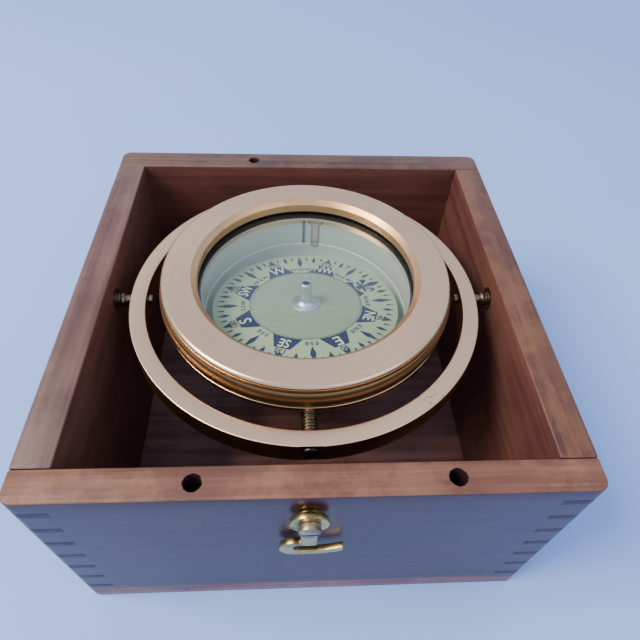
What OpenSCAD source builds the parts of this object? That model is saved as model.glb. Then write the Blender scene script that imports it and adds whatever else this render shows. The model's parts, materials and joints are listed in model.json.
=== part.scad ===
// Boxed boat compass: a liquid-filled brass bowl hung in a gimbal ring inside a
// comb-jointed wooden box. X runs to the right, Y to the back, Z up. The origin is
// the centre of the base board's underside. Sizes are in millimetres.

/* [Box] */
// Outer width of the box, from left to right
box_w = 184; // [184:1:196]
// Outer depth of the box, from front to back
box_d = 186; // [184:1:196]
// Height of the four walls, above the base board
wall_h = 89; // [86:1:110]
// Thickness of the side walls and the back wall
wall_t = 12.5; // [11:0.5:13]
// Thickness of the front wall
front_t = 11; // [10.5:0.5:13]
// Thickness of the base board
base_t = 9; // [6:1:14]
// Rounding of the box's upright corners, seen from above
corner_r = 4; // [1:0.5:6]
// Height of each comb finger on the side walls
finger_h = 3; // [2:0.5:6]
// Distance from one comb finger to the next
finger_pitch = 12.5; // [10:0.5:16]
// Depth of the first comb finger's middle below the rim
finger_drop = 8.5; // [6:0.5:10]

/* [Lid peg holes] */
// Diameter of the two front peg holes
peg_d_front = 5.4; // [4:0.1:6]
// Diameter of the back peg hole
peg_d_back = 4.8; // [4:0.1:6]
// Depth of the peg holes
peg_depth = 12; // [8:1:20]
// X of the front left peg hole
peg_x_left = -36.5; // [-60:0.5:-20]
// X of the front right peg hole
peg_x_right = 45; // [20:0.5:60]
// X of the back peg hole
peg_x_back = -25; // [-60:0.5:60]

/* [Gimbal] */
// Depth of both pivot axes below the rim
axis_drop = 12.7; // [11:0.1:16]
// Outer radius of the gimbal ring
ring_or = 72.5; // [71:0.5:73]
// Width of the gimbal ring's flat top
ring_w = 6.6; // [5:0.1:7]
// Height of the gimbal ring
ring_h = 10; // [8:0.5:12]
// Thread diameter of the pivot screws
thread_d = 6; // [5:0.5:6]
// Thread pitch of the pivot screws
thread_pitch = 1.27; // [1:0.01:1.5]
// Diameter of the pivot screws' plain tips
tip_d = 4; // [3:0.5:4.5]

/* [Bowl] */
// Height of the bezel's top face above the rim
bezel_rise = 5.8; // [3:0.1:7]
// Outer radius of the bezel ring
bezel_or = 59.2; // [58:0.1:59.4]
// Radius of the opening in the bezel's lip, and of the bowl's inside
bowl_ir = 44; // [43:0.5:44.5]
// Wall thickness of the bowl
bowl_wall = 4.5; // [4:0.5:5]

/* [Card] */
// Radius of the compass card
card_r = 39.5; // [36:0.5:40]
// Depth of the card's face below the bezel's top
card_drop = 19.5; // [19:0.5:20]
// Heading shown at the rear lubber line, in degrees
heading = 296; // [0:1:359]
// Tilt of the card on its point, with its rear edge down, in degrees
card_tilt = 11; // [0:0.5:11]

/* [Hook] */
// Depth of the hook's screw below the rim
hook_drop = 12.3; // [10:0.1:20]
// X of the hook's screw
hook_x = -1; // [-20:1:20]
// Distance from the hook's screw to the outer edge of its lip
hook_reach = 27.7; // [26:0.1:30]

/* [Hidden] */
$fn = 96;

// Colours
wood_col = "saddlebrown";
brass_col = "goldenrod";
dark_brass_col = "darkgoldenrod";
steel_col = "lightgray";
rubber_col = [0.08, 0.08, 0.1];

// Radial gap between a round piece and its hole, and the overshoot of a cut
fit_gap = 0.05;
over = 1;

// Box
half_w = box_w / 2;
half_d = box_d / 2;
inner_x = half_w - wall_t;
side_mid = half_w - wall_t / 2;
front_mid = front_t / 2 - half_d;
back_mid = half_d - wall_t / 2;
rim_z = base_t + wall_h;
finger_count = floor((wall_h - finger_drop - finger_h / 2) / finger_pitch) + 1;
base_screw_x = 60;
base_screw_r = 1.75;
base_screw_head_r = 3.75;
base_screw_head_h = 3;
base_screw_l = 25;
base_screw_point = 3;
base_screw_spots = [
    for (a = [-base_screw_x, base_screw_x])
        each [[a, front_mid], [a, back_mid], [-side_mid, a], [side_mid, a]]
];
slot_w = 1;

// Gimbal
axis_z = rim_z - axis_drop;
ring_ir = ring_or - ring_w;
thread_r = thread_d / 2;
root_r = thread_r - 0.6 * thread_pitch;
tip_r = tip_d / 2;
bush_r = 5;
spot_r = 6.5;
spot_depth = 0.35;
edge = 0.5;

// Bowl: heights h are measured down from the bezel's top
top_z = rim_z + bezel_rise;
bowl_or = bowl_ir + bowl_wall;
h_lip = 5.6;
h_glass_top = 6.1;
h_glass_low = 8.3;
h_bowl_rim = 10.3;
h_bezel_low = 11;
h_flange_top = 11.5;
h_flange_low = 14;
h_wall_end = 24.5;
h_floor = 38.5;
h_floor_low = 42.5;
h_skirt = 52;
glass_r = bowl_ir + 5;
seat_gap = 0.3;
flange_r = bezel_or - 0.5;
gasket_ir = bowl_ir - 1.4;
floor_r = bowl_ir - (h_floor - h_wall_end);
skirt_or = 33;
skirt_ir = 27;
bezel_screw_count = 6;
bezel_screw_ring = 53.5;
bezel_screw_r = 1.5;
pivot_bore_depth = 3;
post_r = 2.5;
floor_hole_count = 6;
floor_hole_ring = 15;
floor_hole_r = 2.5;
tip_end_r = bowl_or - pivot_bore_depth + 0.1;
thread_end_r = 55.5;

// Bottom of the bowl
h_diaphragm = 0.4;
h_clamp = h_skirt + h_diaphragm;
h_cover = h_clamp + 1.6;
h_bottom = 68;
cover_flange_t = 1.6;
cover_or = 26;
cover_ir = 24;
cover_floor_t = 2;
ballast_h = 7;
cover_screw_count = 6;
cover_screw_ring = 30;
cover_screw_r = 1.25;
vent_r = 6;

// Filler plug, in the bowl's wall at the left front
plug_angle = 215;
plug_drop = 21.5;
plug_r = 3;
plug_head_r = 5;
plug_flat = 0.4;
washer_proud = 0.8;

// Card
card_t = 0.8;
h_card = card_drop;
h_card_low = h_card + card_t;
hub_base_r = 6.2;
hub_top_r = 2;
h_hub_top = h_glass_low + 0.7;
spigot_r = 5.4;
stone_r = 1.5;
bore_top_r = 1.4;
bore_low_r = 5;
float_r = 17;
h_float_low = h_card_low + 8;
float_t = 0.5;
carrier_t = 1;
h_carrier_low = h_float_low + carrier_t;
nut_h = 1.6;
magnet_r = 2;
magnet_l = 40;
magnet_gap = 11;
needle_r = 0.7;
h_needle_tip = h_hub_top + 1.5;
card_turn = heading - 360;

// Hook
hook_z = rim_z - hook_drop;
hook_t = 2.1;
washer_t = 1.5;
hook_gap = 0.1;
eye_r = 6.25;
hook_arm_w = 5.4;
slot_in_r = hook_reach - 8.5;
slot_out_r = hook_reach - 3.4;
lobe_r = 5.75;
lobe_x = -4.2;
hook_tip_x = 12;
hook_head_r = 3.6;
hook_head_h = 3;
hook_collar_r = 2.5;
hook_shank_r = 1.9;
hook_shank_l = 9;

// ---------- shared shapes ----------

// Points of an arc of radius r about [cx, cy], from angle a0 to angle a1
function arc(cx, cy, r, a0, a1, n = 10) =
    [for (i = [0:n]) let (a = a0 + (a1 - a0) * i / n) [cx + r * cos(a), cy + r * sin(a)]];

// A turned piece: points are [radius, depth below the bezel's top]
module turned(points) {
    translate([0, 0, top_z])
        rotate_extrude()
            polygon([for (p = points) [p[0], -p[1]]]);
}

// A flat ring between two depths below the bezel's top
module flat_ring(r_out, r_in, h_high, h_low) {
    turned([[r_in, h_high], [r_out, h_high], [r_out, h_low], [r_in, h_low]]);
}

// A rod along +X from x0 to x1, at the height of the pivot axes
module x_rod(r, x0, x1) {
    translate([x0, 0, axis_z])
        rotate([0, 90, 0])
            cylinder(r = r, h = x1 - x0);
}

// A hole with its axis on Z, from depth h_low up to depth h_high below the bezel's top
module z_hole(x, y, r, h_high, h_low) {
    translate([x, y, top_z - h_low])
        cylinder(r = r, h = h_low - h_high);
}

// Copies of the children in a circle about the bowl's axis
module round_array(count, radius, start = 0) {
    for (i = [0:count - 1])
        rotate(start + i * 360 / count)
            translate([radius, 0, 0])
                children();
}

// The waste outside one rounded upright corner of the box; sx and sy pick the corner
module corner_waste(sx, sy) {
    difference() {
        translate([sx * half_w, sy * half_d, rim_z / 2])
            cube([2 * corner_r, 2 * corner_r, rim_z + 2 * over], center = true);
        translate([sx * (half_w - corner_r), sy * (half_d - corner_r), -2 * over])
            cylinder(r = corner_r, h = rim_z + 4 * over);
    }
}

// A pivot screw along +X. Its thread is cut as a row of grooves from x0 to x1, and its
// plain tip runs from x0 in to tip_x.
module pivot_screw(tip_x, x0, x1) {
    count = floor((x1 - x0) / thread_pitch) - 1;
    flat = 0.12 * thread_pitch;
    grooves = [for (i = [0:count - 1])
        let (x = x0 + 0.6 + i * thread_pitch)
            each [[thread_r, x + flat], [root_r, x + 0.5 * thread_pitch - flat],
                  [root_r, x + 0.5 * thread_pitch + flat], [thread_r, x + thread_pitch - flat]]];
    translate([0, 0, axis_z])
        rotate([0, 90, 0])
            rotate_extrude()
                polygon(concat(
                    [[0, tip_x], [tip_r - 0.4, tip_x], [tip_r, tip_x + 0.4], [tip_r, x0],
                     [thread_r - 0.5, x0], [thread_r, x0 + 0.5]],
                    grooves,
                    [[thread_r, x1], [0, x1]]));
}

// ---------- box ----------

// Height of the middle of comb finger i
function finger_z(i) = rim_z - finger_drop - i * finger_pitch;

// The fingers that run through the front or the back wall, at both of its ends
module fingers(mid, thickness) {
    for (sx = [-1, 1])
        for (i = [0:finger_count - 1])
            translate([sx * side_mid, mid, finger_z(i)])
                cube([wall_t, thickness, finger_h], center = true);
}

// Pilot holes for the base screws
module base_screw_holes() {
    for (spot = base_screw_spots)
        translate([spot[0], spot[1], -over])
            cylinder(r = base_screw_r + fit_gap, h = base_screw_l + over + fit_gap);
}

// The waste outside all four upright corners
module all_corner_waste() {
    for (sx = [-1, 1])
        for (sy = [-1, 1])
            corner_waste(sx, sy);
}

// The front or the back wall, across the whole width
module cross_wall(mid, thickness) {
    difference() {
        translate([-half_w, mid - thickness / 2, base_t])
            cube([box_w, thickness, wall_h]);
        fingers(mid, thickness);
        all_corner_waste();
        base_screw_holes();
    }
}

module front_wall() {
    color(wood_col)
        difference() {
            cross_wall(front_mid, front_t);
            for (x = [peg_x_left, peg_x_right])
                translate([x, front_mid, rim_z - peg_depth])
                    cylinder(d = peg_d_front, h = peg_depth + over);
            translate([hook_x, -half_d - over, hook_z])
                rotate([-90, 0, 0])
                    cylinder(r = hook_shank_r + fit_gap, h = hook_shank_l + over);
        }
}

module back_wall() {
    color(wood_col)
        difference() {
            cross_wall(back_mid, wall_t);
            translate([peg_x_back, back_mid, rim_z - peg_depth])
                cylinder(d = peg_d_back, h = peg_depth + over);
        }
}

// A wall between the front and the back, with its comb fingers: sx is -1 at the left
module side_wall(sx) {
    difference() {
        union() {
            translate([sx * side_mid - wall_t / 2, front_t - half_d, base_t])
                cube([wall_t, box_d - front_t - wall_t, wall_h]);
            intersection() {
                union() {
                    fingers(front_mid, front_t);
                    fingers(back_mid, wall_t);
                }
                translate([sx * side_mid - wall_t / 2, -half_d, 0])
                    cube([wall_t, box_d, rim_z]);
            }
        }
        all_corner_waste();
        base_screw_holes();
        translate([sx * side_mid, 0, 0])
            x_rod(bush_r + fit_gap, -wall_t / 2 - over, wall_t / 2 + over);
    }
}

module left_wall() {
    color(wood_col)
        side_wall(-1);
}

module right_wall() {
    color(wood_col)
        side_wall(1);
}

module base_board() {
    color(wood_col)
        difference() {
            translate([-half_w, -half_d, 0])
                cube([box_w, box_d, base_t]);
            all_corner_waste();
            base_screw_holes();
            for (spot = base_screw_spots)
                translate([spot[0], spot[1], 0])
                    cylinder(r1 = base_screw_head_r + fit_gap, r2 = base_screw_r + fit_gap,
                             h = base_screw_head_h);
        }
}

// One countersunk wood screw, head down, with a screwdriver slot
module wood_screw() {
    difference() {
        union() {
            cylinder(r1 = base_screw_head_r, r2 = base_screw_r, h = base_screw_head_h);
            cylinder(r = base_screw_r, h = base_screw_l - base_screw_point);
            translate([0, 0, base_screw_l - base_screw_point])
                cylinder(r1 = base_screw_r, r2 = 0.3, h = base_screw_point);
        }
        translate([-base_screw_head_r - over, -slot_w / 2, -over])
            cube([2 * base_screw_head_r + 2 * over, slot_w, over + 1.2]);
    }
}

module base_screws() {
    color(brass_col)
        for (i = [0:len(base_screw_spots) - 1])
            translate([base_screw_spots[i][0], base_screw_spots[i][1], 0])
                rotate(37 * (i + 1))
                    wood_screw();
}

// ---------- pivots between the box and the ring ----------

// A threaded bush let into a side wall, flush with both of its faces
module right_bush() {
    difference() {
        x_rod(bush_r, inner_x, half_w);
        x_rod(thread_r + fit_gap, inner_x - over, half_w + over);
    }
}

// The screw through that bush, with a slotted head outside the box
module right_outer_screw() {
    head_r = 4.8;
    head_h = 3;
    bevel = 0.6;
    slot_depth = 1.5;
    tip_proud = 1.5;
    thread_proud = 3.9;
    difference() {
        union() {
            pivot_screw(ring_ir - tip_proud, inner_x - thread_proud, half_w);
            x_rod(head_r, half_w, half_w + head_h - bevel);
            translate([half_w + head_h - bevel, 0, axis_z])
                rotate([0, 90, 0])
                    cylinder(r1 = head_r, r2 = head_r - bevel, h = bevel);
        }
        translate([half_w + head_h - slot_depth, -slot_w / 2, axis_z - head_r - over])
            cube([slot_depth + over, slot_w, 2 * head_r + 2 * over]);
    }
}

module right_pivot_bush() {
    color(brass_col)
        right_bush();
}

module left_pivot_bush() {
    color(brass_col)
        rotate(180)
            right_bush();
}

module right_pivot_screw() {
    color(brass_col)
        right_outer_screw();
}

module left_pivot_screw() {
    color(brass_col)
        rotate(180)
            right_outer_screw();
}

// ---------- gimbal ring ----------

module gimbal_ring() {
    z0 = axis_z - ring_h / 2;
    z1 = axis_z + ring_h / 2;
    color(brass_col)
        difference() {
            rotate_extrude()
                polygon([
                    [ring_ir, z0 + edge], [ring_ir + edge, z0], [ring_or - edge, z0], [ring_or, z0 + edge],
                    [ring_or, z1 - edge], [ring_or - edge, z1], [ring_ir + edge, z1], [ring_ir, z1 - edge]
                ]);
            x_rod(tip_r + fit_gap, ring_ir - 4, ring_or + 4);
            x_rod(tip_r + fit_gap, -ring_or - 4, -ring_ir + 4);
            for (turn = [90, 270])
                rotate(turn) {
                    x_rod(thread_r + fit_gap, ring_ir - 4, ring_or + 4);
                    x_rod(spot_r, ring_or - spot_depth, ring_or + 4);
                }
        }
}

// A screw through the ring into the bowl, with a domed and slotted end, drawn along +X
module inner_screw() {
    dome_r = 3.4;
    dome_h = 1.6;
    seat = ring_or - spot_depth;
    ball_r = (dome_r * dome_r + dome_h * dome_h) / (2 * dome_h);
    dome_a = asin(dome_r / ball_r);
    difference() {
        union() {
            pivot_screw(tip_end_r, thread_end_r, seat);
            translate([0, 0, axis_z])
                rotate([0, 90, 0])
                    rotate_extrude()
                        polygon(concat(
                            [[0, seat]],
                            [for (p = arc(seat + dome_h - ball_r, 0, ball_r, dome_a, 0, 8)) [p[1], p[0]]]));
        }
        translate([seat + dome_h - 0.9, -slot_w / 2, axis_z - dome_r - over])
            cube([0.9 + over, slot_w, 2 * dome_r + 2 * over]);
    }
}

module front_pivot_screw() {
    color(dark_brass_col)
        rotate(-90)
            inner_screw();
}

module rear_pivot_screw() {
    color(dark_brass_col)
        rotate(90)
            inner_screw();
}

// ---------- bowl ----------

// Radius of the bowl's outside at the skirt, and the angle where the round part meets it
outer_arc_r = bowl_or - floor_r;
skirt_angle = acos((skirt_or - floor_r) / outer_arc_r);

module bowl_body() {
    profile = concat(
        [[bowl_ir, h_bowl_rim], [glass_r, h_bowl_rim], [glass_r, h_flange_top],
         [flange_r - 0.3, h_flange_top], [flange_r, h_flange_top + 0.3],
         [flange_r, h_flange_low - 0.3], [flange_r - 0.3, h_flange_low], [bowl_or, h_flange_low]],
        arc(floor_r, h_wall_end, outer_arc_r, 0, skirt_angle, 10),
        [[skirt_or, h_skirt], [skirt_ir, h_skirt], [skirt_ir, h_floor_low], [0, h_floor_low], [0, h_floor]],
        arc(floor_r, h_wall_end, bowl_ir - floor_r, 90, 0, 10));
    color(dark_brass_col)
        difference() {
            turned(profile);
            for (turn = [90, 270])
                rotate(turn)
                    x_rod(tip_r + fit_gap, bowl_or - pivot_bore_depth, bowl_or + 4);
            round_array(bezel_screw_count, bezel_screw_ring)
                z_hole(0, 0, bezel_screw_r + fit_gap, h_flange_top - over, h_flange_low + over);
            round_array(floor_hole_count, floor_hole_ring)
                z_hole(0, 0, floor_hole_r, h_floor - over, h_floor_low + over);
            z_hole(0, 0, post_r + fit_gap, h_floor - over, h_floor_low + over);
            round_array(cover_screw_count, cover_screw_ring, 30)
                z_hole(0, 0, cover_screw_r + fit_gap, h_skirt - 6, h_skirt + over);
            at_filler() {
                cylinder(r = plug_r + fit_gap, h = bowl_or + over);
                translate([0, 0, bowl_or - plug_flat])
                    cylinder(r = plug_head_r + plug_flat, h = plug_flat + over);
            }
        }
}

module bezel_ring() {
    profile = concat(
        [[bowl_ir + 2, 0]],
        arc(bezel_or - 3, 1.8, 1.8, -90, 0, 6),
        [[bezel_or - 1.1, 4.2]],
        arc(bezel_or - 4.6, 7.8, 4.6, -45, 44, 12),
        [[bezel_or - 1.4, h_bezel_low], [glass_r + seat_gap, h_bezel_low],
         [glass_r + seat_gap, h_lip], [bowl_ir, h_lip], [bowl_ir, 2]]);
    color(brass_col)
        difference() {
            turned(profile);
            round_array(bezel_screw_count, bezel_screw_ring)
                z_hole(0, 0, bezel_screw_r + fit_gap, h_bezel_low - 5, h_bezel_low + over);
        }
}

// Cheese-head screws from under the flange up into the bezel
module bezel_screws() {
    head_r = 2.75;
    head_h = 2;
    color(brass_col)
        round_array(bezel_screw_count, bezel_screw_ring)
            difference() {
                union() {
                    z_hole(0, 0, bezel_screw_r, h_bezel_low - 4.5, h_flange_low);
                    z_hole(0, 0, head_r, h_flange_low, h_flange_low + head_h);
                }
                translate([-head_r - over, -0.4, top_z - h_flange_low - head_h - over])
                    cube([2 * head_r + 2 * over, 0.8, over + 1]);
            }
}

module flange_gasket() {
    color(rubber_col)
        difference() {
            flat_ring(bezel_or - 2, glass_r + 0.1, h_bezel_low, h_flange_top);
            round_array(bezel_screw_count, bezel_screw_ring)
                z_hole(0, 0, bezel_screw_r + fit_gap, h_bezel_low - over, h_flange_top + over);
        }
}

module glass_seal() {
    color(rubber_col)
        flat_ring(glass_r, bowl_ir + 0.2, h_lip, h_glass_top);
}

module glass() {
    color([0.8, 0.9, 0.9, 0.3])
        z_hole(0, 0, glass_r, h_glass_top, h_glass_low);
}

module glass_gasket() {
    color(rubber_col)
        flat_ring(glass_r, gasket_ir, h_glass_low, h_bowl_rim);
}

// A narrow upright strip on the rear of the bowl's inner wall
module lubber_line() {
    strip_w = 1.2;
    strip_t = 0.3;
    color(rubber_col)
        intersection() {
            flat_ring(bowl_ir, bowl_ir - strip_t, h_bowl_rim, h_wall_end);
            translate([-strip_w / 2, 0, 0])
                cube([strip_w, bowl_or, top_z]);
        }
}

// Moves a piece drawn along +X to the filler hole
module at_filler() {
    rotate(plug_angle)
        translate([0, 0, top_z - plug_drop])
            rotate([0, 90, 0])
                children();
}

module filler_plug() {
    head_h = 2;
    head_z = bowl_or + washer_proud;
    slot_depth = 1.2;
    color(brass_col)
        at_filler()
            difference() {
                union() {
                    translate([0, 0, bowl_ir + 0.5])
                        cylinder(r = plug_r, h = head_z - bowl_ir);
                    translate([0, 0, head_z])
                        cylinder(r = plug_head_r, h = head_h);
                }
                translate([-plug_head_r - over, -slot_w / 2, head_z + head_h - slot_depth])
                    cube([2 * plug_head_r + 2 * over, slot_w, slot_depth + over]);
            }
}

// A soft washer on the small flat milled round the filler hole
module filler_washer() {
    color(rubber_col)
        at_filler()
            translate([0, 0, bowl_or - plug_flat])
                difference() {
                    cylinder(r = plug_head_r + 0.3, h = plug_flat + washer_proud);
                    translate([0, 0, -over])
                        cylinder(r = plug_r + fit_gap, h = plug_flat + washer_proud + 2 * over);
                }
}

// ---------- pivot and bottom of the bowl ----------

module pivot_post() {
    color(brass_col)
        turned([[0, h_floor_low - 0.2], [post_r, h_floor_low - 0.2], [post_r, h_floor], [5, h_floor],
                [5, h_floor - 1.2], [2.6, h_floor - 2], [2, h_floor - 4.5], [needle_r, h_floor - 4.5],
                [needle_r, h_floor - 2.5], [0, h_floor - 2.5]]);
}

// The hard point that the card turns on
module pivot_point() {
    color(steel_col)
        turned([[0, h_needle_tip], [needle_r, h_needle_tip + 3.5],
                [needle_r, h_floor - 2.5], [0, h_floor - 2.5]]);
}

// A thin corrugated disc that moves as the liquid warms and cools
module diaphragm() {
    waves = 4;
    amp = 0.8;
    steps = 32;
    wave_r0 = 5;
    wave_r1 = skirt_ir - 2;
    wave = [for (i = [0:steps])
        let (s = i / steps)
            [wave_r0 + (wave_r1 - wave_r0) * s, h_skirt - amp * (1 - cos(360 * waves * s)) / 2]];
    color(steel_col)
        difference() {
            turned(concat(
                [[0, h_skirt]], wave, [[skirt_or, h_skirt], [skirt_or, h_skirt + h_diaphragm]],
                [for (i = [steps:-1:0]) [wave[i][0], wave[i][1] + h_diaphragm]],
                [[0, h_skirt + h_diaphragm]]));
            cover_screw_holes(h_skirt, h_clamp);
        }
}

// Clearance holes for the cover screws, between two depths
module cover_screw_holes(h_high, h_low) {
    round_array(cover_screw_count, cover_screw_ring, 30)
        z_hole(0, 0, cover_screw_r + fit_gap, h_high - over, h_low + over);
}

module clamp_ring() {
    color(brass_col)
        difference() {
            flat_ring(skirt_or, skirt_ir, h_clamp, h_cover);
            cover_screw_holes(h_clamp, h_cover);
        }
}

// A flanged cup that shields the diaphragm and holds the ballast
module bottom_cover() {
    color(dark_brass_col)
        difference() {
            turned(concat(
                [[cover_ir, h_cover], [skirt_or, h_cover], [skirt_or, h_cover + cover_flange_t],
                 [cover_or, h_cover + cover_flange_t]],
                arc(cover_or - 3, h_bottom - 3, 3, 0, 90, 6),
                [[vent_r, h_bottom], [vent_r, h_bottom - cover_floor_t],
                 [cover_ir, h_bottom - cover_floor_t]]));
            cover_screw_holes(h_cover, h_cover + cover_flange_t);
        }
}

module cover_screws() {
    head_r = 2.4;
    head_h = 1.6;
    h_head = h_cover + cover_flange_t;
    color(brass_col)
        round_array(cover_screw_count, cover_screw_ring, 30)
            difference() {
                union() {
                    z_hole(0, 0, cover_screw_r, h_skirt - 5.5, h_head);
                    z_hole(0, 0, head_r, h_head, h_head + head_h);
                }
                translate([-head_r - over, -0.35, top_z - h_head - head_h - over])
                    cube([2 * head_r + 2 * over, 0.7, over + 0.8]);
            }
}

module ballast_weight() {
    color("dimgray")
        flat_ring(cover_ir - 0.1, vent_r + 1, h_bottom - cover_floor_t - ballast_h,
                  h_bottom - cover_floor_t);
}

// ---------- card ----------

// Tilts a piece of the card about the point that the card rests on
module tilted() {
    tip_z = top_z - h_needle_tip;
    translate([0, 0, tip_z])
        rotate([-card_tilt, 0, 0])
            translate([0, 0, -tip_z])
                children();
}

// Turns the card's north point away from +Y to the heading
module at_heading() {
    rotate(card_turn)
        children();
}

module compass_card() {
    color("beige")
        tilted()
            flat_ring(card_r, spigot_r + fit_gap, h_card, h_card_low);
}

// A flared foot and a slim stem, with a spigot down through the card and its float. The
// bore widens downwards, so that the card can rock on its point.
module card_hub() {
    stem_r = 2.5;
    flare_r = hub_base_r - 0.4 - stem_r;
    foot = 0.6;
    h_stone_low = h_hub_top + 2.2;
    h_spigot_low = h_carrier_low + nut_h;
    color(steel_col)
        tilted()
            turned(concat(
                [[stone_r, h_hub_top], [hub_top_r, h_hub_top], [stem_r, h_hub_top + 0.6]],
                arc(stem_r + flare_r, h_card - foot - flare_r, flare_r, 180, 90, 10),
                [[hub_base_r, h_card - foot + 0.2], [hub_base_r, h_card], [spigot_r, h_card],
                 [spigot_r, h_spigot_low], [bore_low_r, h_spigot_low], [bore_top_r, h_stone_low],
                 [stone_r, h_stone_low]]));
}

// A hard stone with a hollow underneath for the pivot point
module jewel_cap() {
    h_top = h_hub_top + 0.1;
    h_low = h_hub_top + 2.2;
    color("midnightblue")
        tilted()
            turned([[0, h_top], [stone_r - fit_gap, h_top], [stone_r - fit_gap, h_low], [1.1, h_low],
                    [0, h_needle_tip - 0.1]]);
}

module float_dome() {
    curve_r = 3;
    hole_r = spigot_r + fit_gap;
    color(brass_col)
        tilted()
            turned(concat(
                [[hole_r, h_card_low], [float_r - curve_r, h_card_low]],
                arc(float_r - curve_r, h_card_low + curve_r, curve_r, -90, 0, 6),
                [[float_r, h_float_low - float_t], [float_r - float_t, h_float_low - float_t]],
                arc(float_r - curve_r, h_card_low + curve_r, curve_r - float_t, 0, -90, 6),
                [[hole_r, h_card_low + float_t]]));
}

module float_plate() {
    color(brass_col)
        tilted()
            flat_ring(float_r, spigot_r + fit_gap, h_float_low - float_t, h_float_low);
}

module magnet_carrier() {
    carrier_w = 15;
    color(brass_col)
        tilted()
            at_heading()
                difference() {
                    translate([-magnet_gap - 3, -carrier_w / 2, top_z - h_carrier_low])
                        cube([2 * magnet_gap + 6, carrier_w, carrier_t]);
                    z_hole(0, 0, spigot_r + fit_gap, h_float_low - over, h_carrier_low + over);
                }
}

// Two bar magnets along the card's north and south line
module magnets() {
    color("dimgray")
        tilted()
            at_heading()
                for (x = [-magnet_gap, magnet_gap])
                    translate([x, -magnet_l / 2, top_z - h_carrier_low - magnet_r])
                        rotate([-90, 0, 0])
                            cylinder(r = magnet_r, h = magnet_l);
}

module hub_nut() {
    nut_r = 7.6;
    color(brass_col)
        tilted()
            difference() {
                translate([0, 0, top_z - h_carrier_low - nut_h])
                    cylinder(r = nut_r, h = nut_h, $fn = 6);
                z_hole(0, 0, spigot_r + fit_gap, h_carrier_low - over, h_carrier_low + nut_h + over);
            }
}

// ---------- hook ----------

// Moves a piece drawn on the front face, with +Z outwards, to the hook's screw
module at_hook() {
    translate([hook_x, -half_d, hook_z])
        rotate([90, 0, 0])
            children();
}

module hook_washer() {
    color(brass_col)
        at_hook()
            difference() {
                cylinder(r = 4.5, h = washer_t);
                translate([0, 0, -over])
                    cylinder(r = hook_collar_r + fit_gap, h = washer_t + 2 * over);
            }
}

// A round eye, a short arm, and a curled lip whose slot is centred on the screw
module catch_hook() {
    slot_mid = (slot_in_r + slot_out_r) / 2;
    slot_end = (slot_out_r - slot_in_r) / 2;
    end_angle = asin((lobe_x + 1.6) / slot_mid);
    lobe_y = -(hook_reach - lobe_r);
    color(brass_col)
        at_hook()
            translate([0, 0, washer_t + hook_gap])
                difference() {
                    union() {
                        cylinder(r = eye_r, h = hook_t);
                        translate([-hook_arm_w / 2, -slot_in_r, 0])
                            cube([hook_arm_w, slot_in_r, hook_t]);
                        translate([lobe_x, lobe_y, 0])
                            cylinder(r = lobe_r, h = hook_t);
                        intersection() {
                            difference() {
                                cylinder(r = hook_reach, h = hook_t);
                                translate([0, 0, -over])
                                    cylinder(r = slot_out_r, h = hook_t + 2 * over);
                            }
                            translate([lobe_x, -hook_reach - over, 0])
                                cube([hook_tip_x - lobe_x, hook_reach, hook_t]);
                        }
                    }
                    translate([0, 0, -over])
                        cylinder(r = hook_collar_r + fit_gap, h = hook_t + 2 * over);
                    intersection() {
                        difference() {
                            translate([0, 0, -over])
                                cylinder(r = slot_out_r, h = hook_t + 2 * over);
                            translate([0, 0, -2 * over])
                                cylinder(r = slot_in_r, h = hook_t + 4 * over);
                        }
                        rotate(end_angle)
                            translate([0, -hook_reach - over, -over])
                                cube([hook_reach, hook_reach, hook_t + 2 * over]);
                    }
                    rotate(end_angle)
                        translate([0, -slot_mid, -over])
                            cylinder(r = slot_end, h = hook_t + 2 * over);
                }
}

module hook_screw() {
    head_z = washer_t + hook_t + 2 * hook_gap;
    color(steel_col)
        at_hook()
            difference() {
                union() {
                    translate([0, 0, -hook_shank_l])
                        cylinder(r = hook_shank_r, h = hook_shank_l);
                    cylinder(r = hook_collar_r, h = head_z);
                    translate([0, 0, head_z])
                        cylinder(r = hook_head_r, h = hook_head_h - 0.7);
                    translate([0, 0, head_z + hook_head_h - 0.7])
                        cylinder(r1 = hook_head_r, r2 = hook_head_r - 1, h = 0.7);
                }
                translate([-hook_head_r - over, -slot_w / 2, head_z + hook_head_h - 1.2])
                    cube([2 * hook_head_r + 2 * over, slot_w, 1.2 + over]);
            }
}

front_wall();
back_wall();
left_wall();
right_wall();
base_board();
base_screws();
left_pivot_bush();
right_pivot_bush();
left_pivot_screw();
right_pivot_screw();
hook_washer();
hook_screw();
catch_hook();
gimbal_ring();
front_pivot_screw();
rear_pivot_screw();
bowl_body();
bezel_ring();
bezel_screws();
flange_gasket();
glass_seal();
glass();
glass_gasket();
lubber_line();
filler_plug();
filler_washer();
pivot_post();
pivot_point();
diaphragm();
clamp_ring();
bottom_cover();
cover_screws();
ballast_weight();
compass_card();
card_hub();
jewel_cap();
float_dome();
float_plate();
magnet_carrier();
magnets();
hub_nut();
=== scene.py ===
"""The looks of the boxed ship compass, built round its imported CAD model. Lengths are in metres."""

import json
import math
import random

import bmesh
import bpy
from mathutils import Matrix, Vector


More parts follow.
